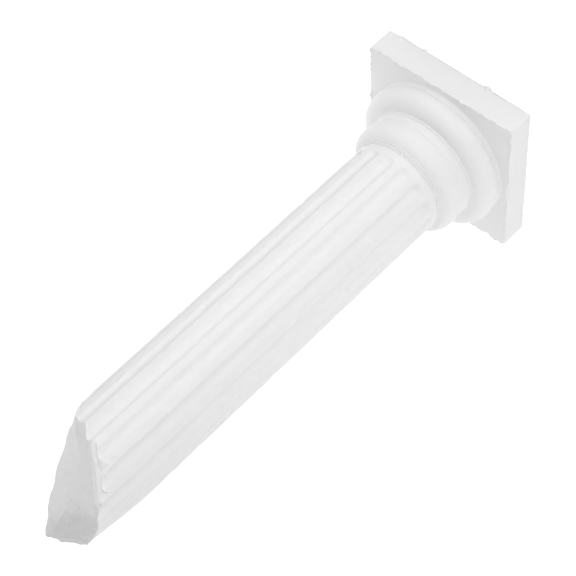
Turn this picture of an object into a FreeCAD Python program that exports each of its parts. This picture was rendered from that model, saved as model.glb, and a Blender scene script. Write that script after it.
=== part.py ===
import FreeCAD, Part
import math
import operator
import os
import Sketcher

# A decorative broken column: a fluted plaster shaft on a square plinth and an Attic base.
# The pieces are stacked on a steel tie rod. Z runs up the shaft from the middle of the felt
# that the column stands on.

DRIVING_SIZES = (
    ("plinth_side", "61.6", "plan side of the square plinth, over its ragged cast edges"),
    ("plinth_height", "10", "thickness of the plinth"),
    ("plinth_round", "1.2", "radius on the plinth's upright corners"),
    ("plinth_edge", "0.5", "chamfer along the plinth's upper and lower rims"),
    ("felt_thickness", "1", "thickness of the felt under the plinth"),
    ("felt_inset", "2", "how far the felt stays inside the plinth's sides"),
    ("felt_round", "3", "radius on the felt's corners"),
    ("torus_margin", "3.1", "ledge of the plinth left outside the wide rounded moulding"),
    ("torus_neck", "1", "height of the upright band at the foot of each rounded moulding"),
    ("lower_torus_height", "9.1", "height of the wide rounded moulding"),
    ("lower_torus_crest", "4.55", "height of its widest line, below its quarter-round shoulder"),
    ("lower_torus_tuck", "1.7", "how far it is tucked in at its foot"),
    ("scotia_height", "2.2", "height of the hollow moulding"),
    ("listel_radius", "21.6", "radius of the thin flat band at the foot of the hollow moulding"),
    ("listel_height", "0.6", "height of that band"),
    ("listel_ledge", "0.5", "width of the ledge from the listel in to the foot of the hollow"),
    ("scotia_lip_height", "0.2", "height of the band above the hollow"),
    ("scotia_depth", "1", "how far the hollow draws in from its foot to the band above it"),
    ("upper_torus_reach", "1.4", "how far the narrow rounded moulding stands out beyond the hollow's lip"),
    ("upper_torus_height", "9.7", "height of the narrow rounded moulding"),
    ("upper_torus_crest", "4.7", "height of its widest line"),
    ("upper_torus_tuck", "1.4", "how far it is tucked in at its foot"),
    ("upper_torus_shoulder", "2.2", "how far it draws in from its widest line to its top"),
    ("cincture_reach", "1.6", "how far the fine stepped ring under the shaft stands out beyond it"),
    ("cincture_height", "1.2", "height of the fine stepped ring"),
    ("shaft_radius", "17.7", "radius over the flats between the flutes"),
    ("shaft_length", "167.6", "length of the shaft on its axis, from its foot to the tip's break"),
    ("flute_count", "16", "number of flutes round the shaft"),
    ("flute_width", "4", "width of a flute at the shaft's surface"),
    ("flute_depth", "1", "depth of a flute"),
    ("flute_start", "2.6", "plain band between the shaft's foot and the flutes"),
    ("break_drop", "12.8", "how far below the tip's break the main break crosses the shaft's axis"),
    ("break_tilt", "50", "angle of the main break to the level, in degrees"),
    ("break_turn", "141", "direction in which the main break rises, in degrees from X"),
    ("lip_tilt", "52.7", "angle of the narrow lip's break to the level, in degrees"),
    ("lip_turn", "89", "direction in which the lip's break rises, in degrees from X"),
    ("tip_tilt", "24", "angle of the tip's break to the level, in degrees"),
    ("tip_turn", "343.5", "direction in which the tip's break rises, in degrees from X"),
    ("spall_drop", "30.1", "how far below the tip's break the flaked side of the shaft begins"),
    ("spall_slope", "5.5", "angle of the flaked side to the shaft's axis, in degrees"),
    ("spall_turn", "157", "side on which it has flaked, in degrees from X"),
    ("foot_wall", "7.7", "plaster between the shaft's surface and the spigot in its foot"),
    ("register_height", "1.5", "height of the round spigots that centre the pieces"),
    ("register_gap", "0.3", "room round and above a spigot in its socket"),
    ("rod_diameter", "6", "diameter of the tie rod"),
    ("rod_gap", "0.3", "room round the rod in the plaster"),
    ("rod_overrun", "4", "length of rod above the insert"),
    ("rod_stickout", "0.5", "length of rod below the nut"),
    ("rod_chamfer", "0.6", "chamfer on the rod's ends"),
    ("thread_gap", "0.1", "room between the rod and the threads that hold it"),
    ("washer_band", "2.95", "width of the washer's ring"),
    ("washer_thickness", "1.2", "thickness of the washer"),
    ("nut_wall", "1.9", "least wall of the nut, at the middle of its flats"),
    ("nut_height", "5", "height of the nut"),
    ("well_room", "2.25", "room round the washer in the well under the plinth"),
    ("well_gap", "0.3", "room between the rod's lower end and the felt"),
    ("insert_wall", "1.4", "wall of the insert's barrel"),
    ("insert_length", "12", "length of the barrel below its collar"),
    ("collar_step", "2", "how far the insert's collar stands out beyond its barrel"),
    ("collar_height", "2.5", "height of the collar"),
    ("insert_rise", "8", "height of the insert above the shaft's foot"),
    ("insert_gap", "0.2", "room round the insert in the plaster"),
    ("pin_diameter", "3", "diameter of the dowel pins"),
    ("pin_bite", "4", "depth of a pin in each piece that it joins"),
    ("pin_gap", "0.15", "room round and beyond a pin in its hole"),
)

FULL_TURN = 360
CINCTURE_STEPS = 3
OPERATIONS = {"+": operator.add, "-": operator.sub, "*": operator.mul, "/": operator.truediv}

doc = FreeCAD.newDocument("column")
sheet = doc.addObject("Spreadsheet::Sheet", "dims")
for row, (alias, number, meaning) in enumerate(DRIVING_SIZES, start=1):
    sheet.set(f"A{row}", meaning)
    sheet.set(f"B{row}", number)
    sheet.setAlias(f"B{row}", alias)
doc.recompute()


class Size:
    """A size kept both as a sheet expression, which binds it, and as a number, which starts a sketch."""

    def __init__(self, text, value):
        self.text = text
        self.value = value

    def joined(self, sign, other):
        if not isinstance(other, Size):
            other = Size(str(other), other)
        return Size(f"({self.text} {sign} {other.text})", OPERATIONS[sign](self.value, other.value))

    def __add__(self, other):
        return self.joined("+", other)

    def __sub__(self, other):
        return self.joined("-", other)

    def __mul__(self, other):
        return self.joined("*", other)

    def __truediv__(self, other):
        return self.joined("/", other)

    def __neg__(self):
        return Size(f"(-{self.text})", -self.value)


class Dims:
    """Gives each driving size of the sheet by its alias."""

    def __getattr__(self, alias):
        return Size(f"dims.{alias}", float(sheet.get(alias)))


dims = Dims()
ON_AXIS = Size("0", 0.0)


def tangent(angle):
    return Size(f"tan({angle.text})", math.tan(math.radians(angle.value)))


def new_body(label, foot):
    """A sub-part modelled from its own foot up, standing at the given height."""
    body = doc.addObject("PartDesign::Body", label)
    body.Label = label
    body.setExpression("Placement.Base.z", foot.text)
    return body


def new_sketch(body, name, role):
    sketch = body.newObject("Sketcher::SketchObject", name)
    plane = next(item for item in body.Origin.OriginFeatures if item.Role == role)
    sketch.AttachmentSupport = (plane, [""])
    sketch.MapMode = "FlatFace"
    return sketch


def hold(sketch, geometry, point, x, y):
    """Fixes a point of a sketch at x and y."""
    for kind, axis, place in (("DistanceX", -2, x), ("DistanceY", -1, y)):
        if place is None:
            continue
        if place is ON_AXIS:
            sketch.addConstraint(Sketcher.Constraint("PointOnObject", geometry, point, axis))
        else:
            index = sketch.addConstraint(Sketcher.Constraint(kind, -1, 1, geometry, point, place.value))
            sketch.setExpression(f"Constraints[{index}]", place.text)


def outline(sketch, corners, arcs=None):
    """Draws a closed outline through the corners, in order.

    arcs gives, for the corner that an arc leaves, the arc's centre and +1 if it turns left or -1 if right.
    """
    arcs = arcs or {}
    ends = []
    for index, (x, y) in enumerate(corners):
        next_x, next_y = corners[(index + 1) % len(corners)]
        start = FreeCAD.Vector(x.value, y.value, 0)
        stop = FreeCAD.Vector(next_x.value, next_y.value, 0)
        if index in arcs:
            centre_x, centre_y, turn = arcs[index]
            middle = FreeCAD.Vector(centre_x.value, centre_y.value, 0)
            circle = Part.Circle(middle, FreeCAD.Vector(0, 0, 1), (start - middle).Length)
            first, last = (start, stop) if turn > 0 else (stop, start)
            arc = Part.ArcOfCircle(circle, circle.parameter(first), circle.parameter(last))
            geometry = sketch.addGeometry(arc, False)
            hold(sketch, geometry, 3, centre_x, None)
            ends.append((geometry, 1, 2) if turn > 0 else (geometry, 2, 1))
        else:
            geometry = sketch.addGeometry(Part.LineSegment(start, stop), False)
            ends.append((geometry, 1, 2))
    for index, (x, y) in enumerate(corners):
        geometry, start, stop = ends[index]
        follower, follower_start, follower_stop = ends[(index + 1) % len(corners)]
        sketch.addConstraint(Sketcher.Constraint("Coincident", geometry, stop, follower, follower_start))
        hold(sketch, geometry, start, x, y)


def circles(sketch, diameter, places):
    """Draws a circle of the given diameter at each place."""
    for x, y in places:
        middle = FreeCAD.Vector(x.value, y.value, 0)
        circle = Part.Circle(middle, FreeCAD.Vector(0, 0, 1), diameter.value / 2)
        geometry = sketch.addGeometry(circle, False)
        hold(sketch, geometry, 3, x, y)
        index = sketch.addConstraint(Sketcher.Constraint("Diameter", geometry, diameter.value))
        sketch.setExpression(f"Constraints[{index}]", diameter.text)


def revolved(body, name, corners, arcs=None):
    """A solid of revolution about Z from a half section of radius and height."""
    sketch = new_sketch(body, f"{name}_section", "XZ_Plane")
    outline(sketch, corners, arcs)
    feature = body.newObject("PartDesign::Revolution", name)
    feature.Profile = sketch
    feature.ReferenceAxis = (sketch, ["V_Axis"])
    feature.Angle = FULL_TURN
    doc.recompute()
    return feature


def raised(body, name, sketch, height):
    """A pad of the sketch, upwards."""
    feature = body.newObject("PartDesign::Pad", name)
    feature.Profile = sketch
    feature.setExpression("Length", height.text)
    doc.recompute()
    return feature


def sunk(body, name, diameter, places, level, depth, upwards):
    """Round blind holes from a level of the body, upwards into its underside or down into its top."""
    sketch = new_sketch(body, f"{name}_circles", "XY_Plane")
    sketch.setExpression("AttachmentOffset.Base.z", level.text)
    circles(sketch, diameter, places)
    feature = body.newObject("PartDesign::Pocket", name)
    feature.Profile = sketch
    feature.Reversed = upwards
    feature.setExpression("Length", depth.text)
    doc.recompute()
    return feature


def upright_edges(feature):
    """Names the feature's straight edges that run along Z."""
    names = []
    for index, edge in enumerate(feature.Shape.Edges, start=1):
        first, last = edge.firstVertex().Point, edge.lastVertex().Point
        level_run = math.hypot(last.x - first.x, last.y - first.y)
        if level_run < abs(last.z - first.z) and len(edge.Vertexes) == 2:
            names.append(f"Edge{index}")
    return names


def rim_edges(feature):
    """Names the feature's edges that lie level, round its top and bottom."""
    names = []
    for index, edge in enumerate(feature.Shape.Edges, start=1):
        box = edge.BoundBox
        if box.ZLength < box.XLength + box.YLength:
            names.append(f"Edge{index}")
    return names


def square(sketch, side):
    half = side / 2
    outline(sketch, ((-half, -half), (half, -half), (half, half), (-half, half)))


def rounded(body, name, feature, edges, radius):
    fillet = body.newObject("PartDesign::Fillet", name)
    fillet.Base = (feature, edges)
    fillet.setExpression("Radius", radius.text)
    doc.recompute()
    return fillet


def chamfered(body, name, feature, edges, width):
    chamfer = body.newObject("PartDesign::Chamfer", name)
    chamfer.Base = (feature, edges)
    chamfer.setExpression("Size", width.text)
    doc.recompute()
    return chamfer


def pair(distance):
    """The places of two pins, at the given distance from the axis along X and against it."""
    return ((distance, ON_AXIS), (-distance, ON_AXIS))


# Levels of the stack, from the surface that the column stands on.
plinth_foot = dims.felt_thickness
plinth_top = plinth_foot + dims.plinth_height
scotia_foot = plinth_top + dims.lower_torus_height
upper_torus_foot = scotia_foot + dims.scotia_height
cincture_foot = upper_torus_foot + dims.upper_torus_height
shaft_foot = cincture_foot + dims.cincture_height

# Sizes that several pieces share: the mouldings' radii, the rod's passage, the spigots and their sockets.
lower_torus_radius = dims.plinth_side / 2 - dims.torus_margin
hollow_foot_radius = dims.listel_radius - dims.listel_ledge
scotia_lip_radius = hollow_foot_radius - dims.scotia_depth
upper_torus_radius = scotia_lip_radius + dims.upper_torus_reach
passage_radius = dims.rod_diameter / 2 + dims.rod_gap
spigot_radius = dims.shaft_radius - dims.foot_wall
socket_radius = spigot_radius + dims.register_gap
socket_depth = dims.register_height + dims.register_gap

# The pins stand in the middle of the flat plaster round the sockets.
pin_hole = dims.pin_diameter + dims.pin_gap * 2
pin_hole_depth = dims.pin_bite + dims.pin_gap
plinth_pin_distance = (socket_radius + lower_torus_radius - dims.lower_torus_tuck) / 2
shaft_pin_distance = (socket_radius + dims.shaft_radius - dims.flute_depth) / 2

# The rod's nut and washer sit in a well under the plinth, and its upper end in the shaft's insert.
thread_radius = dims.rod_diameter / 2 + dims.thread_gap
washer_radius = passage_radius + dims.washer_band
well_radius = washer_radius + dims.well_room
well_depth = dims.washer_thickness + dims.nut_height + dims.rod_stickout + dims.well_gap
washer_foot = plinth_foot + well_depth - dims.washer_thickness
nut_foot = washer_foot - dims.nut_height
rod_foot = nut_foot - dims.rod_stickout
barrel_radius = thread_radius + dims.insert_wall
collar_radius = barrel_radius + dims.collar_step
insert_foot = shaft_foot + dims.insert_rise
insert_height = dims.insert_length + dims.collar_height

# The shaft's blank is long enough for the breaks to leave nothing of its upper end.
blank_length = dims.shaft_length + dims.shaft_radius


def base_felt():
    """Felt sheet glued under the plinth."""
    body = new_body("base_felt", ON_AXIS)
    sketch = new_sketch(body, "felt_plan", "XY_Plane")
    square(sketch, dims.plinth_side - dims.felt_inset * 2)
    sheet_pad = raised(body, "felt_sheet", sketch, dims.felt_thickness)
    rounded(body, "felt_corners", sheet_pad, upright_edges(sheet_pad), dims.felt_round)
    return body


def plinth():
    """Square slab with a centring spigot on top, a passage for the rod and a well for its nut."""
    body = new_body("plinth", plinth_foot)
    sketch = new_sketch(body, "plinth_plan", "XY_Plane")
    square(sketch, dims.plinth_side)
    slab = raised(body, "plinth_slab", sketch, dims.plinth_height)
    corners = rounded(body, "plinth_corners", slab, upright_edges(slab), dims.plinth_round)
    chamfered(body, "plinth_rims", corners, rim_edges(corners), dims.plinth_edge)
    spigot = new_sketch(body, "plinth_spigot_plan", "XY_Plane")
    spigot.setExpression("AttachmentOffset.Base.z", dims.plinth_height.text)
    circles(spigot, spigot_radius * 2, ((ON_AXIS, ON_AXIS),))
    raised(body, "plinth_spigot", spigot, dims.register_height)
    middle = ((ON_AXIS, ON_AXIS),)
    sunk(body, "plinth_well", well_radius * 2, middle, ON_AXIS, well_depth, True)
    through = dims.plinth_height + dims.register_height
    sunk(body, "plinth_passage", passage_radius * 2, middle, ON_AXIS, through, True)
    places = pair(plinth_pin_distance)
    sunk(body, "plinth_pin_holes", pin_hole, places, dims.plinth_height, pin_hole_depth, False)
    return body


def bend(rise, step):
    """Radius of an arc that starts upright and draws in by the step over the rise."""
    return (rise * rise / step + step) / 2


def torus(label, foot, radius, crest, height, tuck, shoulder, spigot_height):
    """Rounded ring, widest at its crest, with a socket in its underside and a spigot on its top."""
    body = new_body(label, foot)
    spigot_top = height + spigot_height
    corners = (
        (passage_radius, socket_depth),
        (socket_radius, socket_depth),
        (socket_radius, ON_AXIS),
        (radius - tuck, ON_AXIS),
        (radius - tuck, dims.torus_neck),
        (radius, crest),
        (radius - shoulder, height),
        (spigot_radius, height),
        (spigot_radius, spigot_top),
        (passage_radius, spigot_top),
    )
    below = (radius - bend(crest - dims.torus_neck, tuck), crest, 1)
    above = (radius - bend(height - crest, shoulder), crest, 1)
    revolved(body, f"{label}_ring", corners, {4: below, 5: above})
    return body


def lower_torus():
    """Wide rounded moulding, pinned to the plinth, whose spigot passes through the hollow moulding."""
    height = dims.lower_torus_height
    crest = dims.lower_torus_crest
    tuck = dims.lower_torus_tuck
    spigot_height = dims.scotia_height + dims.register_height
    body = torus(
        "lower_torus", plinth_top, lower_torus_radius, crest, height, tuck, height - crest, spigot_height
    )
    places = pair(plinth_pin_distance)
    sunk(body, "lower_torus_pin_holes", pin_hole, places, ON_AXIS, pin_hole_depth, True)
    return body


def scotia_ring():
    """Hollow moulding: a plain ring with a thin listel at its foot, then the hollow under a narrow band."""
    body = new_body("scotia_ring", scotia_foot)
    hollow_top = dims.scotia_height - dims.scotia_lip_height
    set_out = bend(hollow_top - dims.listel_height, dims.scotia_depth)
    corners = (
        (socket_radius, ON_AXIS),
        (dims.listel_radius, ON_AXIS),
        (dims.listel_radius, dims.listel_height),
        (hollow_foot_radius, dims.listel_height),
        (scotia_lip_radius, hollow_top),
        (scotia_lip_radius, dims.scotia_height),
        (socket_radius, dims.scotia_height),
    )
    hollow = (scotia_lip_radius + set_out, hollow_top, -1)
    revolved(body, "scotia_section", corners, {3: hollow})
    return body


def upper_torus():
    """Narrow rounded moulding, whose long spigot passes through the fine ring into the shaft."""
    height = dims.upper_torus_height
    crest = dims.upper_torus_crest
    tuck = dims.upper_torus_tuck
    shoulder = dims.upper_torus_shoulder
    spigot_height = dims.cincture_height + dims.register_height
    body = torus(
        "upper_torus", upper_torus_foot, upper_torus_radius, crest, height, tuck, shoulder, spigot_height
    )
    places = pair(shaft_pin_distance)
    sunk(body, "upper_torus_pin_holes", pin_hole, places, height, pin_hole_depth, False)
    return body


def cincture_ring():
    """Fine ring that steps in to the shaft, so that it reads as three lines."""
    body = new_body("cincture_ring", cincture_foot)
    tread = dims.cincture_reach / CINCTURE_STEPS
    riser = dims.cincture_height / CINCTURE_STEPS
    corners = [(socket_radius, ON_AXIS)]
    for step in range(CINCTURE_STEPS):
        radius = dims.shaft_radius + dims.cincture_reach - tread * step
        corners.append((radius, riser * step))
        corners.append((radius, riser * (step + 1)))
    corners.append((socket_radius, dims.cincture_height))
    revolved(body, "cincture_band", corners)
    places = pair(shaft_pin_distance)
    sunk(body, "cincture_pin_holes", pin_hole, places, ON_AXIS, dims.cincture_height, True)
    return body


def shaft_blank(body):
    """Plain shaft with a socket in its foot and the space cast round the insert and the rod's end."""
    barrel_space = barrel_radius + dims.insert_gap
    collar_space = collar_radius + dims.insert_gap
    ledge = dims.insert_rise + dims.insert_length
    roof = ledge + dims.collar_height + dims.insert_gap
    bore_top = ledge + dims.collar_height + dims.rod_overrun + dims.rod_gap
    corners = (
        (passage_radius, socket_depth),
        (socket_radius, socket_depth),
        (socket_radius, ON_AXIS),
        (dims.shaft_radius, ON_AXIS),
        (dims.shaft_radius, blank_length),
        (ON_AXIS, blank_length),
        (ON_AXIS, bore_top),
        (passage_radius, bore_top),
        (passage_radius, roof),
        (collar_space, roof),
        (collar_space, ledge),
        (barrel_space, ledge),
        (barrel_space, dims.insert_rise - dims.insert_gap),
        (passage_radius, dims.insert_rise - dims.insert_gap),
    )
    return revolved(body, "shaft_drum", corners)


def shaft_flutes(body):
    """Round-bottomed flutes with rounded lower ends, open at the break."""
    half_width = dims.flute_width / 2
    ball_radius = (half_width * half_width / dims.flute_depth + dims.flute_depth) / 2
    ball_axis = dims.shaft_radius - dims.flute_depth + ball_radius
    ball_height = dims.flute_start + half_width
    flute_top = blank_length + dims.flute_width
    sketch = new_sketch(body, "flute_section", "XZ_Plane")
    corners = (
        (ball_axis, ball_height - ball_radius),
        (ball_axis, flute_top),
        (ball_axis - ball_radius, flute_top),
        (ball_axis - ball_radius, ball_height),
    )
    outline(sketch, corners, {3: (ball_axis, ball_height, 1)})
    centre_line = Part.LineSegment(
        FreeCAD.Vector(ball_axis.value, 0, 0), FreeCAD.Vector(ball_axis.value, flute_top.value, 0)
    )
    geometry = sketch.addGeometry(centre_line, True)
    hold(sketch, geometry, 1, ball_axis, ON_AXIS)
    hold(sketch, geometry, 2, ball_axis, flute_top)
    groove = body.newObject("PartDesign::Groove", "flute")
    groove.Profile = sketch
    groove.ReferenceAxis = (sketch, ["Axis0"])
    groove.Angle = FULL_TURN
    doc.recompute()
    ring = body.newObject("PartDesign::PolarPattern", "flutes")
    ring.Originals = [groove]
    axis = next(item for item in body.Origin.OriginFeatures if item.Role == "Z_Axis")
    ring.Axis = (axis, [""])
    ring.Angle = FULL_TURN
    ring.setExpression("Occurrences", dims.flute_count.text)
    body.Tip = ring
    doc.recompute()


def turned_sketch(body, name, turn):
    """A sketch on an upright plane through the shaft's axis, whose x points along the turn."""
    sketch = new_sketch(body, name, "XZ_Plane")
    sketch.AttachmentOffset = FreeCAD.Placement(
        FreeCAD.Vector(), FreeCAD.Rotation(FreeCAD.Vector(0, 1, 0), turn.value)
    )
    sketch.setExpression("AttachmentOffset.Rotation.Angle", turn.text)
    return sketch


def cut_across(body, name, sketch, width):
    """Cuts the sketch's outline away, as wide to either side of its plane."""
    feature = body.newObject("PartDesign::Pocket", name)
    feature.Profile = sketch
    feature.Midplane = True
    feature.setExpression("Length", width.text)
    doc.recompute()


def broken_off(body, name, height, tilt, turn):
    """Takes away everything above a tilted plane that crosses the axis at the given height."""
    reach = dims.shaft_radius * 2
    rise = reach * tangent(tilt)
    top = blank_length * 2
    sketch = turned_sketch(body, f"{name}_wedge", turn)
    outline(sketch, ((-reach, height - rise), (reach, height + rise), (reach, top), (-reach, top)))
    cut_across(body, name, sketch, reach * 2)


def flaked_off(body):
    """Takes a long thin flake off one side of the shaft below the tip."""
    start = dims.shaft_length - dims.spall_drop
    inset = (blank_length - start) * tangent(dims.spall_slope)
    outside = dims.shaft_radius * 2
    sketch = turned_sketch(body, "spall_wedge", dims.spall_turn)
    corners = (
        (dims.shaft_radius, start),
        (outside, start),
        (outside, blank_length),
        (dims.shaft_radius - inset, blank_length),
    )
    outline(sketch, corners)
    cut_across(body, "spall", sketch, outside * 2)


def shaft():
    """Fluted shaft with its slanting broken end."""
    body = new_body("shaft", shaft_foot)
    shaft_blank(body)
    shaft_flutes(body)
    break_height = dims.shaft_length - dims.break_drop
    broken_off(body, "main_break", break_height, dims.break_tilt, dims.break_turn)
    broken_off(body, "lip_break", dims.shaft_length, dims.lip_tilt, dims.lip_turn)
    broken_off(body, "tip_break", dims.shaft_length, dims.tip_tilt, dims.tip_turn)
    flaked_off(body)
    places = pair(shaft_pin_distance)
    sunk(body, "shaft_pin_holes", pin_hole, places, ON_AXIS, pin_hole_depth, True)
    return body


def tie_rod():
    """Steel stud from the nut under the plinth to the insert in the shaft."""
    body = new_body("tie_rod", rod_foot)
    length = insert_foot + insert_height + dims.rod_overrun - rod_foot
    radius = dims.rod_diameter / 2
    neck = radius - dims.rod_chamfer
    corners = (
        (ON_AXIS, ON_AXIS),
        (neck, ON_AXIS),
        (radius, dims.rod_chamfer),
        (radius, length - dims.rod_chamfer),
        (neck, length),
        (ON_AXIS, length),
    )
    revolved(body, "rod_stud", corners)
    return body


def shaft_insert():
    """Brass insert, cast in, whose collar keeps it from pulling out."""
    body = new_body("shaft_insert", insert_foot)
    corners = (
        (thread_radius, ON_AXIS),
        (barrel_radius, ON_AXIS),
        (barrel_radius, dims.insert_length),
        (collar_radius, dims.insert_length),
        (collar_radius, insert_height),
        (thread_radius, insert_height),
    )
    revolved(body, "insert_sleeve", corners)
    return body


def rod_washer():
    """Plain washer against the roof of the well."""
    body = new_body("rod_washer", washer_foot)
    corners = (
        (passage_radius, ON_AXIS),
        (washer_radius, ON_AXIS),
        (washer_radius, dims.washer_thickness),
        (passage_radius, dims.washer_thickness),
    )
    revolved(body, "washer_disc", corners)
    return body


def rod_nut():
    """Hexagon nut that draws the stack together."""
    body = new_body("rod_nut", nut_foot)
    half_flat = thread_radius + dims.nut_wall
    half_side = half_flat * Size("tan(30)", math.tan(math.radians(30)))
    sketch = new_sketch(body, "nut_plan", "XY_Plane")
    corners = (
        (half_side, -half_flat),
        (half_side * 2, ON_AXIS),
        (half_side, half_flat),
        (-half_side, half_flat),
        (-half_side * 2, ON_AXIS),
        (-half_side, -half_flat),
    )
    outline(sketch, corners)
    raised(body, "nut_hexagon", sketch, dims.nut_height)
    middle = ((ON_AXIS, ON_AXIS),)
    sunk(body, "nut_thread", thread_radius * 2, middle, ON_AXIS, dims.nut_height, True)
    return body


def pins(label, distance, foot, length):
    """Two dowel pins either side of the rod."""
    both = []
    for side, (x, y) in zip(("right", "left"), pair(distance)):
        pin = doc.addObject("Part::Cylinder", f"{label}_{side}")
        pin.setExpression("Radius", (dims.pin_diameter / 2).text)
        pin.setExpression("Height", length.text)
        pin.setExpression("Placement.Base.x", x.text)
        pin.setExpression("Placement.Base.z", foot.text)
        both.append(pin)
    group = doc.addObject("Part::Compound", label)
    group.Label = label
    group.Links = both
    doc.recompute()
    return group


shaft_pin_length = dims.pin_bite * 2 + dims.cincture_height
sub_parts = [
    base_felt(),
    plinth(),
    lower_torus(),
    scotia_ring(),
    upper_torus(),
    cincture_ring(),
    shaft(),
    tie_rod(),
    shaft_insert(),
    rod_washer(),
    rod_nut(),
    pins("plinth_pins", plinth_pin_distance, plinth_top - dims.pin_bite, dims.pin_bite * 2),
    pins("shaft_pins", shaft_pin_distance, cincture_foot - dims.pin_bite, shaft_pin_length),
]
doc.recompute()

CUTTING_TYPES = ("PartDesign::Pocket", "PartDesign::Groove")
for item in doc.Objects:
    if "Invalid" in item.State or "Error" in item.State:
        raise RuntimeError(f"{item.Label} failed to compute: {item.State}")
    if item.TypeId in CUTTING_TYPES and item.Shape.Volume >= item.BaseFeature.Shape.Volume:
        raise RuntimeError(f"{item.Label} cuts nothing")

for part in sub_parts:
    if part.Shape.isNull() or not part.Shape.isValid():
        raise RuntimeError(f"{part.Label} has no valid shape")

os.makedirs("parts", exist_ok=True)
for part in sub_parts:
    part.Shape.exportStep(f"parts/{part.Label}.step")
    box = part.Shape.BoundBox
    print(f"{part.Label}: {len(part.Shape.Solids)} solid, {part.Shape.Volume:.0f} mm3, to z {box.ZMax:.2f}")
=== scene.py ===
import math

import bmesh
import bpy
from mathutils import Matrix, Vector, noise


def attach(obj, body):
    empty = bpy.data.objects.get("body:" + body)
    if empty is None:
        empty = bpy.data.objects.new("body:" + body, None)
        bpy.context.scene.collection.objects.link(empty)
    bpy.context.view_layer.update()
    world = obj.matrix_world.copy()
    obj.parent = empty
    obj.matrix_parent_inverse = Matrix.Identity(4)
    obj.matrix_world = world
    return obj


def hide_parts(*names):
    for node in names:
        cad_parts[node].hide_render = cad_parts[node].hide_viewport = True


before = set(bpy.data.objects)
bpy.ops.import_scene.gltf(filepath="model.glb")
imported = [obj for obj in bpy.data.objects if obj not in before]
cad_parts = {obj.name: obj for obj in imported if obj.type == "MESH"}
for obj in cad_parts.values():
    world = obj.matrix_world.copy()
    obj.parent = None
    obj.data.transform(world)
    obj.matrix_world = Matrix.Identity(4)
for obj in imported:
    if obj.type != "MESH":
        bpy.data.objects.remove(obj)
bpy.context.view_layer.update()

# The plinth: a square slab of cast plaster, the lowest of the stacked pieces.
# Its rims are ragged, with worn corners, small chips and a few nibs of flash left from the mould.
# A low round spigot on its top centres the moulding above.
mm = 0.001
SLAB_RIGHT = 30.0 * mm
SLAB_LEFT = 30.5 * mm
SLAB_DEEP = 30.0 * mm
SLAB_FOOT = 1.0 * mm
SLAB_TOP = 11.0 * mm
# Axis and number of cuts across it.
SLAB_CUTS = ((2, 17), (0, 139), (1, 139))
SLAB_SWELL = 0.05 * mm
WORN_CORNERS = {(1, -1): 1.5 * mm, (-1, -1): 0.7 * mm, (-1, 1): 1.6 * mm, (1, 1): 1.4 * mm}
RIM_ROUND = 0.4 * mm
RIM_LEAST = 0.6
RIM_NEAR = 0.2 * mm
RIM_FAR = 1.6 * mm
WIDE_BITE = 3.6 * mm
FINE_BITE = 1.7 * mm
FINE_BITE_SHARE = 0.7
TOP_BITE = 1.9
FOOT_BITE = 0.7
TOP_RAGGED = 0.45 * mm
FOOT_RAGGED = 0.10 * mm
RAGGED_WIDTH = 1.3 * mm
FLASH_HEIGHT = 0.60 * mm
FLASH_INNER = 0.75 * mm
FLASH_OUTER = 0.25 * mm
WIDE_TOOTH = 2.6 * mm
FINE_TOOTH = 1.2 * mm
FINE_TOOTH_SHARE = 0.6
TOOTH_BASE = 0.25
# Nibs of flash: place on the rim, then how far each reaches along x, y and z, in mm.
NIBS = (
    ((-11.8, -30.0, 0.95), (1.30, 0.75, 0.90)),
    ((14.7, -30.0, 1.1), (0.85, 0.55, 0.60)),
    ((24.0, -29.9, 1.5), (2.20, 0.45, 0.90)),
    ((30.1, -24.0, 10.4), (0.50, 0.95, 0.55)),
    ((30.15, -8.5, 10.4), (0.50, 1.15, 0.55)),
    ((30.2, -15.0, 10.6), (0.40, 1.60, 0.40)),
    ((-3.0, 29.95, 10.4), (1.10, 0.45, 0.45)),
)
NIB_LEAN = 0.35
NIB_GRAIN = 0.7 * mm
SPIGOT = 10.0 * mm
SPIGOT_RISE = 1.5 * mm
SPIGOT_ROOT = 0.5 * mm
SPIGOT_SIDES = 96
PLASTER_DARK = (0.85, 0.85, 0.85, 1)
PLASTER_PALE = (0.88, 0.88, 0.88, 1)
PINHOLE_SHADE_TONE = (0.76, 0.76, 0.76, 1)


class Wire:
    """A socket of a node tree that can be used in sums."""

    def __init__(self, tree, socket=None):
        self.tree = tree
        self.socket = socket

    def add(self, kind, settings=None, sockets=None, output=0):
        node = self.tree.nodes.new(kind)
        for name, value in (settings or {}).items():
            setattr(node, name, value)
        self.join(node, sockets or {})
        return Wire(self.tree, node.outputs[output] if node.outputs else None)

    def join(self, node, sockets):
        for name, value in sockets.items():
            if isinstance(value, Wire):
                self.tree.links.new(value.socket, node.inputs[name])
            else:
                node.inputs[name].default_value = value

    def count(self, operation, first, second):
        return self.add("ShaderNodeMath", {"operation": operation}, {0: first, 1: second})

    def __add__(self, other):
        return self.count("ADD", self, other)

    def __radd__(self, other):
        return self.count("ADD", other, self)

    def __sub__(self, other):
        return self.count("SUBTRACT", self, other)

    def __rsub__(self, other):
        return self.count("SUBTRACT", other, self)

    def __mul__(self, other):
        return self.count("MULTIPLY", self, other)

    def __rmul__(self, other):
        return self.count("MULTIPLY", other, self)

    def rise(self, low, high):
        ends = {"Value": self, "From Min": low, "From Max": high}
        return self.add("ShaderNodeMapRange", {"interpolation_type": "SMOOTHSTEP"}, ends)

    def blend(self, share, first, second):
        sockets = {"Factor": share, "A": first, "B": second}
        return self.add("ShaderNodeMix", {"data_type": "RGBA"}, sockets, "Result")

    def relief(self, height):
        return self.add("ShaderNodeBump", None, {"Strength": 1.0, "Distance": 1.0, "Height": height})


def cloudy(wires, place, scale, detail):
    """Noise from 0 to 1 with that many waves to the metre."""
    return wires.add("ShaderNodeTexNoise", None, {"Vector": place, "Scale": scale, "Detail": detail})


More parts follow.
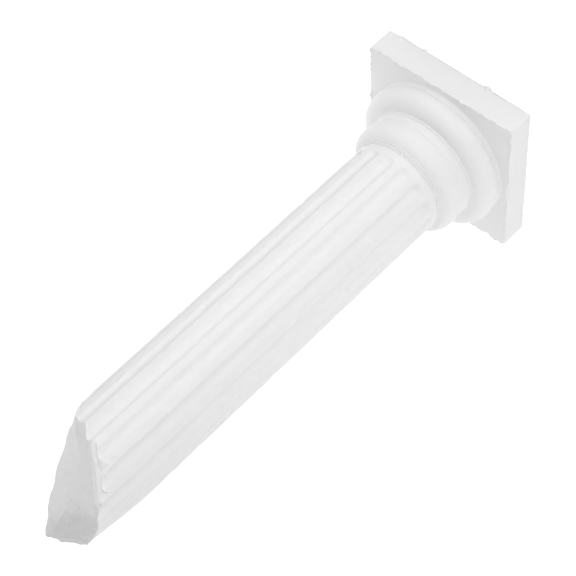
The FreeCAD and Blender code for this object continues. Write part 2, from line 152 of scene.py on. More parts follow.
def new_finish(name):
    """A new material with its wires and its shader."""
    finish = bpy.data.materials.new(name)
    finish.use_nodes = True
    return finish, Wire(finish.node_tree), finish.node_tree.nodes["Principled BSDF"]


def cast_plaster(name, break_tones=()):
    """Dry white plaster: faintly cloudy, with a fine grain and a few pinholes, which are painted darker as
    shade in them.

    Each break tone is an attribute of the mesh and the colour that it brings.
    """
    finish, wires, shader = new_finish(name)
    place = wires.add("ShaderNodeTexCoord", output="Object")
    clouds = cloudy(wires, place, scale=65.0, detail=4.0)
    ripple = cloudy(wires, place, scale=320.0, detail=4.0)
    grain = cloudy(wires, place, scale=1500.0, detail=2.0)
    bubbles = wires.add("ShaderNodeTexVoronoi", None, {"Vector": place, "Scale": 240.0})
    patches = cloudy(wires, place, scale=150.0, detail=1.0)
    holes = (1.0 - bubbles.rise(0.05, 0.14)) * patches.rise(0.60, 0.68)
    tone = wires.blend(clouds * 0.6 + grain * 0.4, PLASTER_DARK, PLASTER_PALE)
    for attribute, colour in break_tones:
        share = wires.add("ShaderNodeAttribute", {"attribute_name": attribute}, output="Fac")
        tone = wires.blend(share, tone, colour)
    relief = ripple * (0.07 * mm) + grain * (0.04 * mm) - holes * (0.12 * mm)
    sockets = {
        # The pinholes are painted darker, as painted shade in them.
        "Base Color": wires.blend(holes * 0.5, tone, PINHOLE_SHADE_TONE),
        "Roughness": grain * 0.12 + 0.80,
        "Specular IOR Level": 0.35,
        "Normal": wires.relief(relief),
    }
    wires.join(shader, sockets)
    return finish


def wavy(point, reach, seed=0.0):
    """Smooth noise between about -1 and 1 whose bumps are about as wide as the reach."""
    return noise.noise(Vector(point) / reach + Vector((seed, 2.3 * seed, 5.1 * seed)))


def eased(low, high, value):
    """Rises softly from 0 to 1 as the value goes from low to high."""
    share = min(1.0, max(0.0, (value - low) / (high - low)))
    return share * share * (3 - 2 * share)


def finished(name, builder, finish, node, crease=42):
    """Makes the object from its bmesh; it stands for a node, and edges sharper than the crease stay crisp."""
    mesh = bpy.data.meshes.new(name)
    bmesh.ops.recalc_face_normals(builder, faces=builder.faces)
    builder.to_mesh(mesh)
    builder.free()
    mesh.shade_smooth()
    mesh.set_sharp_from_angle(angle=math.radians(crease))
    mesh.materials.append(finish)
    piece = bpy.data.objects.new(name, mesh)
    bpy.context.scene.collection.objects.link(piece)
    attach(piece, "root")
    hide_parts(node)
    return piece


def rounded_plan(x, y):
    """Puts a point of the unit square on the slab's plan; gives it with its outward direction."""
    wear = WORN_CORNERS[(1 if x > 0 else -1, 1 if y > 0 else -1)]
    side = Vector((SLAB_LEFT if x > 0 else SLAB_RIGHT, SLAB_DEEP))
    spot = Vector((x * side.x, y * side.y))
    core = Vector(max(wear - edge, min(edge - wear, part)) for part, edge in zip(spot, side))
    past = spot - core
    if past.x and past.y:
        return core + past.normalized() * max(abs(past.x), abs(past.y)), past.normalized()
    if abs(x) > abs(y):
        return spot, Vector((math.copysign(1, x), 0))
    return spot, Vector((0, math.copysign(1, y)))


def weathered_rim(vert):
    """Puts a vertex of the unit box on the slab, with its rims rounded and crumbled."""
    share = Vector(math.sin(part * math.pi / 2) for part in vert.co)
    across, outward = rounded_plan(share.x, share.y)
    upward = math.copysign(1, share.z)
    on_top = upward > 0
    half_height = (SLAB_TOP - SLAB_FOOT) / 2
    level = SLAB_FOOT + half_height * (1 + share.z)
    spot = Vector((across.x, across.y, level))
    bites = eased(0.0, 0.5, wavy(spot, WIDE_BITE, seed=1.0))
    bites += FINE_BITE_SHARE * eased(0.0, 0.5, wavy(spot, FINE_BITE, seed=2.0))
    radius = RIM_ROUND * (RIM_LEAST + (TOP_BITE if on_top else FOOT_BITE) * bites)
    inside = SLAB_DEEP * (1 - max(abs(share.x), abs(share.y)))
    below = half_height * (1 - abs(share.z))
    sideways = radius - min(radius, inside)
    upwards = radius - min(radius, below)
    if sideways and upwards:
        length = math.hypot(sideways, upwards)
        spot.x -= outward.x * sideways * (1 - radius / length)
        spot.y -= outward.y * sideways * (1 - radius / length)
        spot.z -= upward * upwards * (1 - radius / length)
    near_rim = 1 - eased(RIM_NEAR, RIM_FAR, max(inside, below))
    ragged = TOP_RAGGED if on_top else FOOT_RAGGED
    push = ragged * near_rim * (wavy(spot, RAGGED_WIDTH, seed=3.0) - 0.15)
    push += SLAB_SWELL * wavy(spot, 9 * mm, seed=4.0)
    if on_top:
        along_rim = across.to_3d()
        teeth = TOOTH_BASE + wavy(along_rim, WIDE_TOOTH, seed=8.0)
        teeth += FINE_TOOTH_SHARE * wavy(along_rim, FINE_TOOTH, seed=9.0)
        at_rim = (1 - eased(FLASH_OUTER, FLASH_INNER, inside)) * eased(0.5, 1.0, share.z)
        spot.z += FLASH_HEIGHT * max(0.0, teeth) * at_rim
    direction = Vector((outward.x, outward.y, upward)) if near_rim else Vector((0, 0, 0))
    return spot + direction * push


plaster = cast_plaster("cast_plaster")
slab = bmesh.new()
bmesh.ops.create_cube(slab, size=2.0)
for axis, cuts in SLAB_CUTS:
    runs = [edge for edge in slab.edges if abs(edge.verts[0].co[axis] - edge.verts[1].co[axis]) > 0.01]
    bmesh.ops.subdivide_edges(slab, edges=runs, cuts=cuts, use_grid_fill=True)
for vert in slab.verts:
    vert.co = weathered_rim(vert)
for place, reach in NIBS:
    root = Vector(place) * mm
    stand = Matrix.Translation(root) @ Matrix.Diagonal((*(Vector(reach) * mm), 1))
    nib = bmesh.ops.create_icosphere(slab, subdivisions=3, radius=1.0, matrix=stand)
    for vert in nib["verts"]:
        vert.co += (vert.co - root) * NIB_LEAN * wavy(vert.co, NIB_GRAIN, seed=6.0)
bmesh.ops.create_cone(
    slab, cap_ends=True, segments=SPIGOT_SIDES, radius1=SPIGOT, radius2=SPIGOT,
    depth=SPIGOT_RISE + SPIGOT_ROOT,
    matrix=Matrix.Translation((0, 0, SLAB_TOP + (SPIGOT_RISE - SPIGOT_ROOT) / 2)),
)
plinth = finished("cast_plinth", slab, plaster, "plinth")

# The lower torus: a wide rounded ring of cast plaster that stands on the plinth.
# A socket in its underside fits over the plinth's spigot, and two hidden steel pins stop it turning.
# The joint at its foot is smoothed over with plaster.
LOWER_FOOT = SLAB_TOP
LOWER_CREST = LOWER_FOOT + 4.55 * mm
LOWER_TOP = LOWER_FOOT + 9.1 * mm
LOWER_RADIUS = 27.7 * mm
LOWER_TUCK = 1.7 * mm
LOWER_SHOULDER = 4.55 * mm
LOWER_SPIGOT = 23.8 * mm
LOWER_FILL = 1.3 * mm
NECK = 1.0 * mm
BORE = 3.3 * mm
SOCKET = 10.3 * mm
SOCKET_DEPTH = 1.8 * mm
RING_STEPS = 192
LOW_BEND_STEPS = 20
HIGH_BEND_STEPS = 28
TORUS_UNEVEN = 0.07 * mm
MERGE_WITHIN = 0.00002 * mm


def line_to(profile, end, radius, height):
    """Draws the profile on with a straight line to a radius and a height."""
    grown = bmesh.ops.extrude_vert_indiv(profile, verts=[end])["verts"][0]
    grown.co = (radius, 0, height)
    return grown


def arc_to(profile, end, radius, height, angle, steps):
    """Draws the profile on with an arc about a centre at that radius and height."""
    turned = bmesh.ops.spin(
        profile, geom=[end], cent=(radius, 0, height), axis=(0, 1, 0), angle=angle, steps=steps,
        use_merge=False,
    )
    return next(item for item in turned["geom_last"] if isinstance(item, bmesh.types.BMVert))


def turned_ring(profile, start, end, steps=RING_STEPS):
    """Closes the profile and turns it once round the column's axis."""
    profile.edges.new((end, start))
    bmesh.ops.spin(
        profile, geom=profile.verts[:] + profile.edges[:], cent=(0, 0, 0), axis=(0, 0, 1),
        angle=2 * math.pi, steps=steps, use_merge=True,
    )
    bmesh.ops.remove_doubles(profile, verts=profile.verts, dist=MERGE_WITHIN)


def hand_cast(ring, depth, seed):
    """Leaves the slight unevenness of a hand-made mould in a turned piece."""
    for vert in ring.verts:
        out = Vector((vert.co.x, vert.co.y, 0))
        if out.length > SOCKET + 1 * mm:
            swell = wavy(vert.co, 7 * mm, seed) + 0.5 * wavy(vert.co, 2.2 * mm, seed + 1)
            vert.co += out.normalized() * depth * swell


def bend_through(rise, step):
    """Radius of an arc that starts upright and moves in by the step over the rise."""
    return (rise ** 2 / step + step) / 2


def torus_ring(radius, foot, crest, top, tuck, shoulder, spigot_top, seed, fill=0.0, band=0.0):
    """A rounded ring with a socket below and a spigot above.

    The joint at its foot may be filled to a slope, and an upright band may run round its crest.
    """
    brow = crest + band
    low_rise = crest - foot - NECK
    high_rise = top - brow
    low_bend = bend_through(low_rise, tuck)
    high_bend = bend_through(high_rise, shoulder)
    low_angle = math.asin(low_rise / low_bend)
    high_angle = math.atan2(high_rise, high_bend - shoulder)
    ring = bmesh.new()
    start = ring.verts.new((BORE, 0, foot + SOCKET_DEPTH))
    end = line_to(ring, start, SOCKET, foot + SOCKET_DEPTH)
    end = line_to(ring, end, SOCKET, foot)
    end = line_to(ring, end, radius - tuck + fill, foot)
    end = line_to(ring, end, radius - tuck, foot + NECK)
    end = arc_to(ring, end, radius - low_bend, crest, -low_angle, LOW_BEND_STEPS)
    if band:
        end = line_to(ring, end, radius, brow)
    end = arc_to(ring, end, radius - high_bend, brow, -high_angle, HIGH_BEND_STEPS)
    end = line_to(ring, end, SPIGOT, top)
    end = line_to(ring, end, SPIGOT, spigot_top)
    end = line_to(ring, end, BORE, spigot_top)
    turned_ring(ring, start, end)
    hand_cast(ring, TORUS_UNEVEN, seed)
    return ring


lower_ring = torus_ring(
    LOWER_RADIUS, LOWER_FOOT, LOWER_CREST, LOWER_TOP, LOWER_TUCK, LOWER_SHOULDER, LOWER_SPIGOT,
    seed=7.0, fill=LOWER_FILL,
)
lower_torus = finished("cast_lower_torus", lower_ring, plaster, "lower_torus")

# The scotia ring: the hollow moulding between the two rounded ones, of cast plaster.
# It has a thin crisp listel at its foot and the hollow above it.
# It is threaded over the lower torus's spigot.
SCOTIA_FOOT = LOWER_TOP
SCOTIA_TOP = SCOTIA_FOOT + 2.2 * mm
LISTEL_RADIUS = 21.6 * mm
LISTEL_TOP = SCOTIA_FOOT + 0.6 * mm
LISTEL_LEDGE = 0.5 * mm
LISTEL_ROUND = 0.16 * mm
HOLLOW_RADIUS = 20.5 * mm
HOLLOW_TOP = SCOTIA_TOP - 0.2 * mm
HOLLOW_STEPS = 12
RING_UNEVEN = 0.05 * mm
hollow_foot = LISTEL_RADIUS - LISTEL_LEDGE
hollow_rise = HOLLOW_TOP - LISTEL_TOP
hollow_bend = bend_through(hollow_rise, hollow_foot - HOLLOW_RADIUS)
hollow_angle = math.asin(hollow_rise / hollow_bend)
hollow = bmesh.new()
start = hollow.verts.new((SOCKET, 0, SCOTIA_FOOT))
end = line_to(hollow, start, LISTEL_RADIUS, SCOTIA_FOOT)
end = line_to(hollow, end, LISTEL_RADIUS, LISTEL_TOP)
end = line_to(hollow, end, hollow_foot, LISTEL_TOP)
end = arc_to(hollow, end, HOLLOW_RADIUS + hollow_bend, HOLLOW_TOP, hollow_angle, HOLLOW_STEPS)
end = line_to(hollow, end, HOLLOW_RADIUS, SCOTIA_TOP)
end = line_to(hollow, end, SOCKET, SCOTIA_TOP)
turned_ring(hollow, start, end)


def softened(ring, corners, width):
    """Rounds the turned corners that run at the given radii and heights."""
    rims = []
    for edge in ring.edges:
        spots = [(math.hypot(vert.co.x, vert.co.y), vert.co.z) for vert in edge.verts]
        for corner in corners:
            if all(math.dist(spot, corner) < 0.02 * mm for spot in spots):
                rims.append(edge)
                break
    bmesh.ops.bevel(
        ring, geom=rims, offset=width, segments=3, affect="EDGES", profile=0.5, material=-1,
        clamp_overlap=True,
    )


softened(hollow, ((LISTEL_RADIUS, LISTEL_TOP),), LISTEL_ROUND)
hand_cast(hollow, RING_UNEVEN, seed=9.0)
scotia_ring = finished("cast_scotia_ring", hollow, plaster, "scotia_ring")

# The upper torus: the smaller rounded ring of cast plaster under the shaft.
# Its long spigot passes through the fine ring above it into the shaft's foot.
UPPER_FOOT = SCOTIA_TOP
UPPER_CREST = UPPER_FOOT + 4.7 * mm
UPPER_TOP = UPPER_FOOT + 9.7 * mm
UPPER_RADIUS = 21.5 * mm
UPPER_TUCK = 1.0 * mm
UPPER_SHOULDER = 2.2 * mm
UPPER_BAND = 1.2 * mm
UPPER_SPIGOT = 34.7 * mm
upper_ring = torus_ring(
    UPPER_RADIUS, UPPER_FOOT, UPPER_CREST, UPPER_TOP, UPPER_TUCK, UPPER_SHOULDER, UPPER_SPIGOT,
    seed=11.0, band=UPPER_BAND,
)
upper_torus = finished("cast_upper_torus", upper_ring, plaster, "upper_torus")

# The cincture ring: the fine stepped ring of cast plaster between the upper torus and the shaft.
# It is threaded on the upper torus's spigot and clamped by the shaft.
CINCTURE_FOOT = UPPER_TOP
CINCTURE_TOP = CINCTURE_FOOT + 1.2 * mm
CINCTURE_RADIUS = 19.3 * mm
CINCTURE_STEPS = 3
CINCTURE_ROUND = 0.10 * mm
SHAFT_RADIUS = 17.7 * mm
step_height = (CINCTURE_TOP - CINCTURE_FOOT) / CINCTURE_STEPS
step_width = (CINCTURE_RADIUS - SHAFT_RADIUS) / CINCTURE_STEPS
band = bmesh.new()
start = band.verts.new((SOCKET, 0, CINCTURE_FOOT))
end = start
band_rims = []
for step in range(CINCTURE_STEPS):
    radius = CINCTURE_RADIUS - step * step_width
    foot = CINCTURE_FOOT + step * step_height
    end = line_to(band, end, radius, foot)
    end = line_to(band, end, radius, foot + step_height)
    band_rims.append((radius, foot + step_height))
end = line_to(band, end, SOCKET, CINCTURE_TOP)
turned_ring(band, start, end)
softened(band, band_rims, CINCTURE_ROUND)
hand_cast(band, RING_UNEVEN, seed=13.0)
cincture_ring = finished("cast_cincture_ring", band, plaster, "cincture_ring")

# The shaft: a drum of cast plaster with sixteen round flutes, broken off at a slant.
# The break is painted paler, partly as fresh plaster and partly as painted light. It has a long face, a
# striated strip beside it, a tip painted darker as shade in its hollow, and a flake off the far side.
# A socket in its foot sits on the upper torus's spigot, and a cast-in brass insert takes the tie rod.
SHAFT_FOOT = CINCTURE_TOP
FLUTES = 16
FLUTE_WIDTH = 4.0 * mm
FLUTE_DEPTH = 1.0 * mm
FLUTE_START = 2.6 * mm
FLUTE_END_BLUNT = 1.35
INSERT_DEPTH = 26.8 * mm
BLANK_TOP = 219.0 * mm
SIDE_ROWS = 190
TOP_ROWS = 48
DRUM_STEPS = 288
ROW_CROWDING = 0.28
RIM_SHARE = 0.97
HAIR = 0.01 * mm
WEAR_DEPTH = 0.22 * mm
DRUM_UNEVEN = 0.06 * mm
SPALL_START = 170.7 * mm
SPALL_SLOPE = math.tan(math.radians(5.5))
SPALL_SIDE = Vector((math.cos(math.radians(157)), math.sin(math.radians(157))))
SPALL_REACH = 0.3
SPALL_ROUGH = 0.15 * mm
# Painted light and shade on the break: the whole break is painted paler, partly as fresh plaster and partly
# as painted light. The tip side is painted darker as shade in its hollow, rising from the first to the second
# distance in mm.
FRESH_AND_PAINTED_LIGHT_TONE = (0.915, 0.915, 0.915, 1)
PAINTED_TIP_SHADE_TONE = (0.81, 0.81, 0.81, 1)
TIP_SHADE_FROM = 4.0
TIP_SHADE_FULL = 9.0
CREST = 199.25 * mm
BREAK_SOFTNESS = 0.5 * mm
# Planes of the break: height over the axis in mm, then the rise for each mm along x and along y.
STRIP_PLANE = (200.72, 0.031, 1.312)
FACE_PLANE = (187.5, -0.8157, 0.6574)
TIP_PLANE = (200.78, 0.428, -0.127)
FACE_TWIST = 0.0037
FACE_SADDLE = 0.0104
RIDGE_SIDE = Vector((0.562, 0.827))
RIDGE_REACH = 14.0
GROOVE_DEPTH = 0.8
GROOVE_GAIN = 1.5
GROOVE_WIDTH = 4.2
LEDGE_DEPTH = 1.2
LEDGE_EDGE = 0.8
LEDGE_WIDTH = 4.0
TIP_SIDE = Vector((-0.73, 0.683))
HOLLOW_FLOOR = 189.39
HOLLOW_FALL = 0.42
HOLLOW_BANK = 0.45
HOLLOW_WIDTH = 1.0
LIP_HEIGHT = 3.7
LIP_BEARINGS = (286, 304, 317)
LIP_INNER = 8.0
LIP_OUTER = 16.5
# Roughness of each plane: depth in mm, width of the bumps and seed.
STRIP_ROUGH = ((0.25, 3.0 * mm, 21),)
FACE_ROUGH = ((0.45, 4.5 * mm, 23), (0.22, 1.7 * mm, 24))
TIP_ROUGH = ((0.7, 3.5 * mm, 25), (0.45, 1.5 * mm, 26))
HOLLOW_ROUGH = ((0.6, 3.0 * mm, 27), (0.3, 1.4 * mm, 28))
STRIA_DEPTH = 0.22
STRIA_TURNS = 3.9
STRIA_WANDER = 2.0
# Chips at the rim: place in plan, width and depth, in mm.
CHIPS = (
    (3.0, 14.8, 1.1, 1.6),
    (-10.5, -14.2, 0.65, 2.2),
    (-14.7, -9.7, 0.65, 2.2),
    (-15.4, -7.1, 0.7, 2.0),
)
flute_bend = (FLUTE_WIDTH ** 2 / 4 / FLUTE_DEPTH + FLUTE_DEPTH) / 2


def flute_cut(angle, height):
    """How deep the flutes cut into the drum at an angle and a height."""
    pitch = 2 * math.pi / FLUTES
    off_centre = (angle + pitch / 2) % pitch - pitch / 2
    across = SHAFT_RADIUS * math.sin(off_centre)
    short = max(0.0, SHAFT_FOOT + FLUTE_START + FLUTE_WIDTH / 2 - height)
    left = flute_bend ** 2 - across ** 2 - (FLUTE_END_BLUNT * short) ** 2
    return max(0.0, math.sqrt(max(0.0, left)) - (flute_bend - FLUTE_DEPTH))


def lower_of(first, second):
    """The lower of two heights, rounded where they meet."""
    gap = max(0.0, BREAK_SOFTNESS - abs(first - second))
    return min(first, second) - gap ** 2 / BREAK_SOFTNESS / 4


def rough_plane(plane, layers, across, along):
    """Height of a broken plane over a point of the plan, with its layers of roughness, all in mm."""
    here = (across * mm, along * mm, 0)
    height = plane[0] + plane[1] * across + plane[2] * along
    return height + sum(depth * wavy(here, reach, seed) for depth, reach, seed in layers)


def break_height(x, y):
    """Height of the broken end over a point of the plan."""
    across, along = x / mm, y / mm
    plan = Vector((across, along))
    off_ridge = RIDGE_SIDE.dot(plan) + RIDGE_REACH
    up_ridge = RIDGE_SIDE.cross(plan)
    behind = max(0.0, off_ridge)
    strip = rough_plane(STRIP_PLANE, STRIP_ROUGH, across, along)
    wander = STRIA_WANDER * wavy((x, y, 0), 5 * mm, seed=22)
    strip += STRIA_DEPTH * math.sin(STRIA_TURNS * off_ridge + wander)

    face = rough_plane(FACE_PLANE, FACE_ROUGH, across, along)
    face += FACE_TWIST * across * along + FACE_SADDLE * (along ** 2 - across ** 2)
    groove = GROOVE_DEPTH + GROOVE_GAIN * eased(-10, 0, up_ridge)
    face -= groove * math.exp(-((behind / GROOVE_WIDTH) ** 2))
    ledge = LEDGE_DEPTH * (1 - math.exp(-behind / LEDGE_EDGE)) * eased(-12, -6, up_ridge)
    face -= ledge * math.exp(-((behind / LEDGE_WIDTH) ** 2))
    bearing = math.degrees(math.atan2(along, across)) % 360
    lip_start, lip_middle, lip_end = LIP_BEARINGS
    lip = eased(lip_start, lip_middle, bearing) * (1 - eased(lip_middle, lip_end, bearing))
    face += LIP_HEIGHT * lip * eased(LIP_INNER, LIP_OUTER, plan.length)

    bank = HOLLOW_BANK * max(0.0, plan.cross(TIP_SIDE) - HOLLOW_WIDTH)
    hollow_floor = rough_plane((HOLLOW_FLOOR, 0, 0), HOLLOW_ROUGH, across, along)
    hollow_floor += HOLLOW_FALL * TIP_SIDE.dot(plan) + bank
    tip = rough_plane(TIP_PLANE, TIP_ROUGH, across, along)
    lowest = lower_of(lower_of(strip * mm, face * mm), lower_of(hollow_floor * mm, tip * mm))
    for chip_x, chip_y, width, depth in CHIPS:
        apart = (across - chip_x) ** 2 + (along - chip_y) ** 2
        lowest -= depth * mm * math.exp(-apart / width ** 2 / 2)
    return min(CREST, lowest)


def drum_radius(angle, height):
    """Radius of the fluted drum, with its worn arrises and the flake off its far side."""
    spot = Vector((SHAFT_RADIUS * math.cos(angle), SHAFT_RADIUS * math.sin(angle), height))
    cut = flute_cut(angle, height)
    wear = WEAR_DEPTH * eased(0.15, 0.6, wavy(spot, 3.2 * mm, seed=31)) * (1 - cut / FLUTE_DEPTH)
    radius = SHAFT_RADIUS - cut - wear - DRUM_UNEVEN * (1 + wavy(spot, 8 * mm, seed=32))
    side = Vector((math.cos(angle), math.sin(angle))).dot(SPALL_SIDE)
    if height > SPALL_START and side > SPALL_REACH:
        flake = SHAFT_RADIUS - (height - SPALL_START) * SPALL_SLOPE
        flake += SPALL_ROUGH * wavy(spot, 3 * mm, seed=33)
        radius = min(radius, flake / side)
    return radius


drum = bmesh.new()
start = drum.verts.new((BORE, 0, SHAFT_FOOT + SOCKET_DEPTH))
end = line_to(drum, start, SOCKET, SHAFT_FOOT + SOCKET_DEPTH)
end = line_to(drum, end, SOCKET, SHAFT_FOOT)
end = line_to(drum, end, SHAFT_RADIUS, SHAFT_FOOT)
for row in range(1, SIDE_ROWS + 1):
    end = line_to(drum, end, SHAFT_RADIUS, SHAFT_FOOT + (BLANK_TOP - SHAFT_FOOT) * row / SIDE_ROWS)
for row in range(1, TOP_ROWS + 1):
    end = line_to(drum, end, SHAFT_RADIUS * (1 - row / TOP_ROWS), BLANK_TOP)
end = line_to(drum, end, 0, SHAFT_FOOT + INSERT_DEPTH)
end = line_to(drum, end, BORE, SHAFT_FOOT + INSERT_DEPTH)
turned_ring(drum, start, end, steps=DRUM_STEPS)
fresh_break_and_painted_light = drum.verts.layers.float.new("fresh_break_and_painted_light")
painted_tip_shade = drum.verts.layers.float.new("painted_tip_shade")
for vert in drum.verts:
    x, y, z = vert.co
    reach = math.hypot(x, y)
    angle = math.atan2(y, x)
    at_top = z > BLANK_TOP - HAIR
    on_top = at_top and reach > HAIR
    on_side = reach > SHAFT_RADIUS - HAIR
    if not on_top and not on_side:
        if at_top:
            vert.co.z = break_height(0, 0)
        continue
    rim_guess = RIM_SHARE * SHAFT_RADIUS
    rim = break_height(rim_guess * math.cos(angle), rim_guess * math.sin(angle))
    rim_radius = drum_radius(angle, rim)
    if on_top:
        vert.co.x = x / SHAFT_RADIUS * rim_radius
        vert.co.y = y / SHAFT_RADIUS * rim_radius
        vert.co.z = break_height(vert.co.x, vert.co.y)
        # The break is painted paler, partly as fresh plaster and partly as painted light, and darker towards
        # the tip as painted shade in the hollow there.
        vert[fresh_break_and_painted_light] = 1.0
        vert[painted_tip_shade] = eased(TIP_SHADE_FROM, TIP_SHADE_FULL, TIP_SIDE.dot(vert.co.xy) / mm)
        continue
    rim = break_height(rim_radius * math.cos(angle), rim_radius * math.sin(angle))
    share = (z - SHAFT_FOOT) / (BLANK_TOP - SHAFT_FOOT)
    height = SHAFT_FOOT + (rim - SHAFT_FOOT) * ((1 - ROW_CROWDING) * share + ROW_CROWDING * share ** 2)
    radius = drum_radius(angle, height)
    vert.co = (radius * math.cos(angle), radius * math.sin(angle), height)
broken_plaster = cast_plaster("broken_plaster", (("fresh_break_and_painted_light", FRESH_AND_PAINTED_LIGHT_TONE), ("painted_tip_shade", PAINTED_TIP_SHADE_TONE)))
shaft = finished("cast_shaft", drum, broken_plaster, "shaft", crease=50)

# The tie rod, its nut, washer and the four locating pins: zinc-plated steel, hidden inside the stack.
# The rod is threaded into the shaft's insert and drawn tight from the well under the plinth.
STEEL_DARK = (0.42, 0.43, 0.44, 1)
STEEL_PALE = (0.62, 0.63, 0.64, 1)
THREADS_PER_METRE = 1000.0
WAVE_TURN = 2 * math.pi / 20


def plated_steel(name, threaded):
    """Zinc-plated steel with a drawn grain along its length, and a thread where it has one."""
    finish, wires, shader = new_finish(name)
    place = wires.add("ShaderNodeTexCoord", output="Object")
    stretched = wires.add("ShaderNodeMapping", None, {"Vector": place, "Scale": (1.0, 1.0, 0.08)})
    drawn = cloudy(wires, stretched, scale=2500.0, detail=3.0)
    stains = cloudy(wires, place, scale=160.0, detail=3.0)
    relief = drawn * (0.02 * mm)
    if threaded:
        settings = {"wave_type": "BANDS", "bands_direction": "Z", "wave_profile": "TRI"}
        sockets = {"Vector": place, "Scale": THREADS_PER_METRE * WAVE_TURN}
        relief = relief + wires.add("ShaderNodeTexWave", settings, sockets, "Fac") * (0.4 * mm)
    sockets = {
        "Base Color": wires.blend(drawn * 0.5 + stains * 0.5, STEEL_DARK, STEEL_PALE),
        "Metallic": 1.0,
        "Roughness": stains * 0.2 + 0.28,
        "Normal": wires.relief(relief),
    }
    wires.join(shader, sockets)
    return finish


threaded_steel = plated_steel("threaded_steel", True)
plain_steel = plated_steel("plain_steel", False)
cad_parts["tie_rod"].material_slots[0].material = threaded_steel
for node in ("rod_nut", "rod_washer", "plinth_pins", "shaft_pins"):
    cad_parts[node].material_slots[0].material = plain_steel

# The shaft's insert: a turned brass sleeve with a collar, hidden in the foot of the shaft.
# It is cast into the plaster and threaded for the tie rod.
BRASS_DARK = (0.62, 0.44, 0.18, 1)
BRASS_PALE = (0.80, 0.62, 0.30, 1)
brass, wires, shader = new_finish("turned_brass")
place = wires.add("ShaderNodeTexCoord", output="Object")
rings = wires.add("ShaderNodeMapping", None, {"Vector": place, "Scale": (0.1, 0.1, 1.0)})
turning = cloudy(wires, rings, scale=3000.0, detail=2.0)
tarnish = cloudy(wires, place, scale=220.0, detail=3.0)
brass_sockets = {
    "Base Color": wires.blend(tarnish * 0.7 + turning * 0.3, BRASS_DARK, BRASS_PALE),
    "Metallic": 1.0,
    "Roughness": tarnish * 0.2 + 0.25,
    "Normal": wires.relief(turning * (0.03 * mm)),
}
wires.join(shader, brass_sockets)
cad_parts["shaft_insert"].material_slots[0].material = brass

# The base felt: a square of pale wool felt with rounded corners, cut from sheet and glued under the plinth.
# It covers the well with the nut and keeps the plaster from scratching what it stands on.
FELT_HALF = 28.7 * mm
FELT_THICK = 0.96 * mm
FELT_CORNER = 3.0 * mm
FELT_SQUARES = 70
FELT_LIFT = 0.02 * mm
FELT_RIM = 1.2 * mm
FELT_FRAY = 0.06 * mm
FELT_DARK = (0.60, 0.59, 0.56, 1)
FELT_PALE = (0.80, 0.79, 0.76, 1)
wool, wires, shader = new_finish("wool_felt")
place = wires.add("ShaderNodeTexCoord", output="Object")
fuzz = cloudy(wires, place, scale=2600.0, detail=4.0)
lie_one = wires.add("ShaderNodeMapping", None, {"Vector": place, "Scale": (1.0, 0.12, 1.0)})
lie_two = wires.add("ShaderNodeMapping", None, {"Vector": place, "Scale": (0.12, 1.0, 1.0)})
fibres = cloudy(wires, lie_one, scale=3200.0, detail=3.0) * 0.5
fibres = fibres + cloudy(wires, lie_two, scale=3200.0, detail=3.0) * 0.5
felt_sockets = {
    "Base Color": wires.blend(fibres * 0.6 + fuzz * 0.4, FELT_DARK, FELT_PALE),
    "Roughness": fuzz * 0.1 + 0.88,
    "Sheen Weight": 0.25,
    "Normal": wires.relief(fibres * (0.2 * mm) + fuzz * (0.1 * mm)),
}
wires.join(shader, felt_sockets)
pad = bmesh.new()
bmesh.ops.create_grid(pad, x_segments=FELT_SQUARES, y_segments=FELT_SQUARES, size=FELT_HALF)
flat = FELT_HALF - FELT_CORNER
for vert in pad.verts:
    core = Vector((max(-flat, min(flat, vert.co.x)), max(-flat, min(flat, vert.co.y)), 0))
    past = vert.co - core
    if past.x and past.y:
        vert.co = core + past.normalized() * max(abs(past.x), abs(past.y))
lifted = bmesh.ops.extrude_face_region(pad, geom=pad.faces[:])["geom"]
upper_face = [item for item in lifted if isinstance(item, bmesh.types.BMVert)]
bmesh.ops.translate(pad, vec=(0, 0, FELT_THICK), verts=upper_face)
uprights = [edge for edge in pad.edges if abs(edge.verts[0].co.z - edge.verts[1].co.z) > 0.1 * mm]
bmesh.ops.subdivide_edges(pad, edges=uprights, cuts=3, use_grid_fill=True)
for vert in pad.verts:
    rim = eased(FELT_HALF - FELT_RIM, FELT_HALF, max(abs(vert.co.x), abs(vert.co.y)))
    push = FELT_FRAY * rim * (wavy(vert.co, 0.9 * mm, seed=41) - 0.8)
    vert.co.x *= 1 + push / FELT_HALF
    vert.co.y *= 1 + push / FELT_HALF
    uneven = vert.co.z + FELT_LIFT * wavy(vert.co, 1.5 * mm, seed=42)
    vert.co.z = min(FELT_THICK, max(FELT_LIFT, uneven))
base_felt = finished("base_felt_sheet", pad, wool, "base_felt", crease=60)

# The studio: a pale floor, four small soft boxes low round the base and a dim sky.
# The sky is brighter overhead and low down in front and behind.
# The sky and the floor read as white where the camera or a reflection sees them.
FLOOR_HALF = 6.0
FLOOR_TONE = (0.90, 0.90, 0.90, 1)
FLOOR_GLOW = 0.75
WHITE = (1.0, 1.0, 1.0, 1)
SKY_LEVEL = 0.230
# Bright parts of the sky: the direction towards each and its strength.
SKY_LOBES = (
    ((0.0, 0.0, 1.0), 0.71),
    ((0.0, 0.990, 0.139), 1.72),
    ((0.0, -0.990, 0.139), 0.82),
)
LOBE_TIGHTNESS = 4.0
BOX_WIDTH = 0.12
BOX_TARGET = Vector((0, 0, 0.05))
# Soft boxes: the place of each and its power in watts.
SOFT_BOXES = {
    "front_box": ((-0.28, -0.28, 0.07), 0.40),
    "left_box": ((0.28, -0.28, 0.10), 0.23),
    "right_back_box": ((-0.16, 0.16, 0.07), 0.09),
    "left_back_box": ((0.20, 0.08, 0.07), 0.14),
}


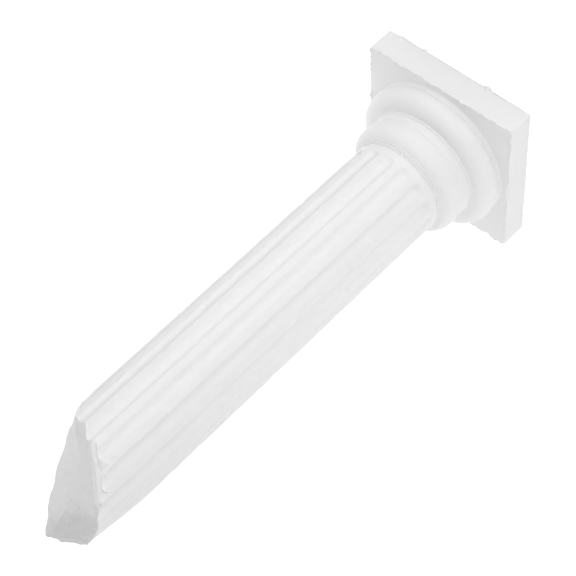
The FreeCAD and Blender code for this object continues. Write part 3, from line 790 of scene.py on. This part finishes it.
def background_rays(wires):
    """1 where the camera, a reflection or a refraction looks, and 0 for light that falls on the object."""
    camera_ray = wires.add("ShaderNodeLightPath", output="Is Camera Ray")
    glossy_ray = wires.add("ShaderNodeLightPath", output="Is Glossy Ray")
    clear_ray = wires.add("ShaderNodeLightPath", output="Is Transmission Ray")
    return wires.count("MAXIMUM", wires.count("MAXIMUM", camera_ray, glossy_ray), clear_ray)


table = bmesh.new()
bmesh.ops.create_grid(table, x_segments=1, y_segments=1, size=FLOOR_HALF)
floor_mesh = bpy.data.meshes.new("floor")
table.to_mesh(floor_mesh)
table.free()
floor = bpy.data.objects.new("floor", floor_mesh)
bpy.context.scene.collection.objects.link(floor)
pale_floor = bpy.data.materials.new("pale_floor")
pale_floor.use_nodes = True
pale_floor.node_tree.nodes.clear()
wires = Wire(pale_floor.node_tree)
matt = wires.add("ShaderNodeBsdfDiffuse", None, {"Color": FLOOR_TONE})
glow_strength = background_rays(wires) * FLOOR_GLOW
glow = wires.add("ShaderNodeEmission", None, {"Color": WHITE, "Strength": glow_strength})
both = wires.add("ShaderNodeAddShader", None, {0: matt, 1: glow})
wires.add("ShaderNodeOutputMaterial", None, {"Surface": both})
floor_mesh.materials.append(pale_floor)

sky = bpy.data.worlds.new("studio_sky")
sky.use_nodes = True
sky.node_tree.nodes.clear()
bpy.context.scene.world = sky
wires = Wire(sky.node_tree)
look = wires.add("ShaderNodeTexCoord", output="Generated")
light = SKY_LEVEL
for towards, strength in SKY_LOBES:
    facing = wires.add("ShaderNodeVectorMath", {"operation": "DOT_PRODUCT"}, {0: look, 1: towards}, "Value")
    lobe = wires.count("POWER", wires.count("MAXIMUM", facing, 0.0), LOBE_TIGHTNESS)
    light = light + lobe * strength
dim = wires.add("ShaderNodeBackground", None, {"Color": WHITE, "Strength": light})
white = wires.add("ShaderNodeBackground", None, {"Color": WHITE, "Strength": 1.0})
seen = wires.add("ShaderNodeMixShader", None, {0: background_rays(wires), 1: dim, 2: white})
wires.add("ShaderNodeOutputWorld", None, {"Surface": seen})

for name, (place, power) in SOFT_BOXES.items():
    lamp = bpy.data.lights.new(name, "AREA")
    lamp.shape = "SQUARE"
    lamp.size = BOX_WIDTH
    lamp.energy = power
    holder = bpy.data.objects.new(name, lamp)
    aim = (Vector(place) - BOX_TARGET).to_track_quat("Z", "Y").to_matrix().to_4x4()
    holder.matrix_world = Matrix.Translation(place) @ aim
    bpy.context.scene.collection.objects.link(holder)

# The camera: a long lens above the column's side and turned on its own axis, as the photograph was taken.
CAMERA_PLACE = (-0.28927, -0.55205, 0.37828)
CAMERA_RIGHT = (-0.745835, 0.041709, -0.664823)
CAMERA_UP = (0.516413, -0.594221, -0.616619)
CAMERA_BACK = (-0.420770, -0.803220, 0.421652)
LENS_LENGTH = 131.86
SENSOR_WIDTH = 36.0
NEAREST = 0.01
FARTHEST = 50.0
lens = bpy.data.cameras.new("photo_lens")
lens.sensor_fit = "HORIZONTAL"
lens.sensor_width = SENSOR_WIDTH
lens.lens = LENS_LENGTH
lens.clip_start = NEAREST
lens.clip_end = FARTHEST
camera = bpy.data.objects.new("photo_camera", lens)
turn = Matrix((CAMERA_RIGHT, CAMERA_UP, CAMERA_BACK)).transposed().to_4x4()
camera.matrix_world = Matrix.Translation(CAMERA_PLACE) @ turn
bpy.context.scene.collection.objects.link(camera)
bpy.context.scene.camera = camera
bpy.context.scene.view_settings.view_transform = "Standard"
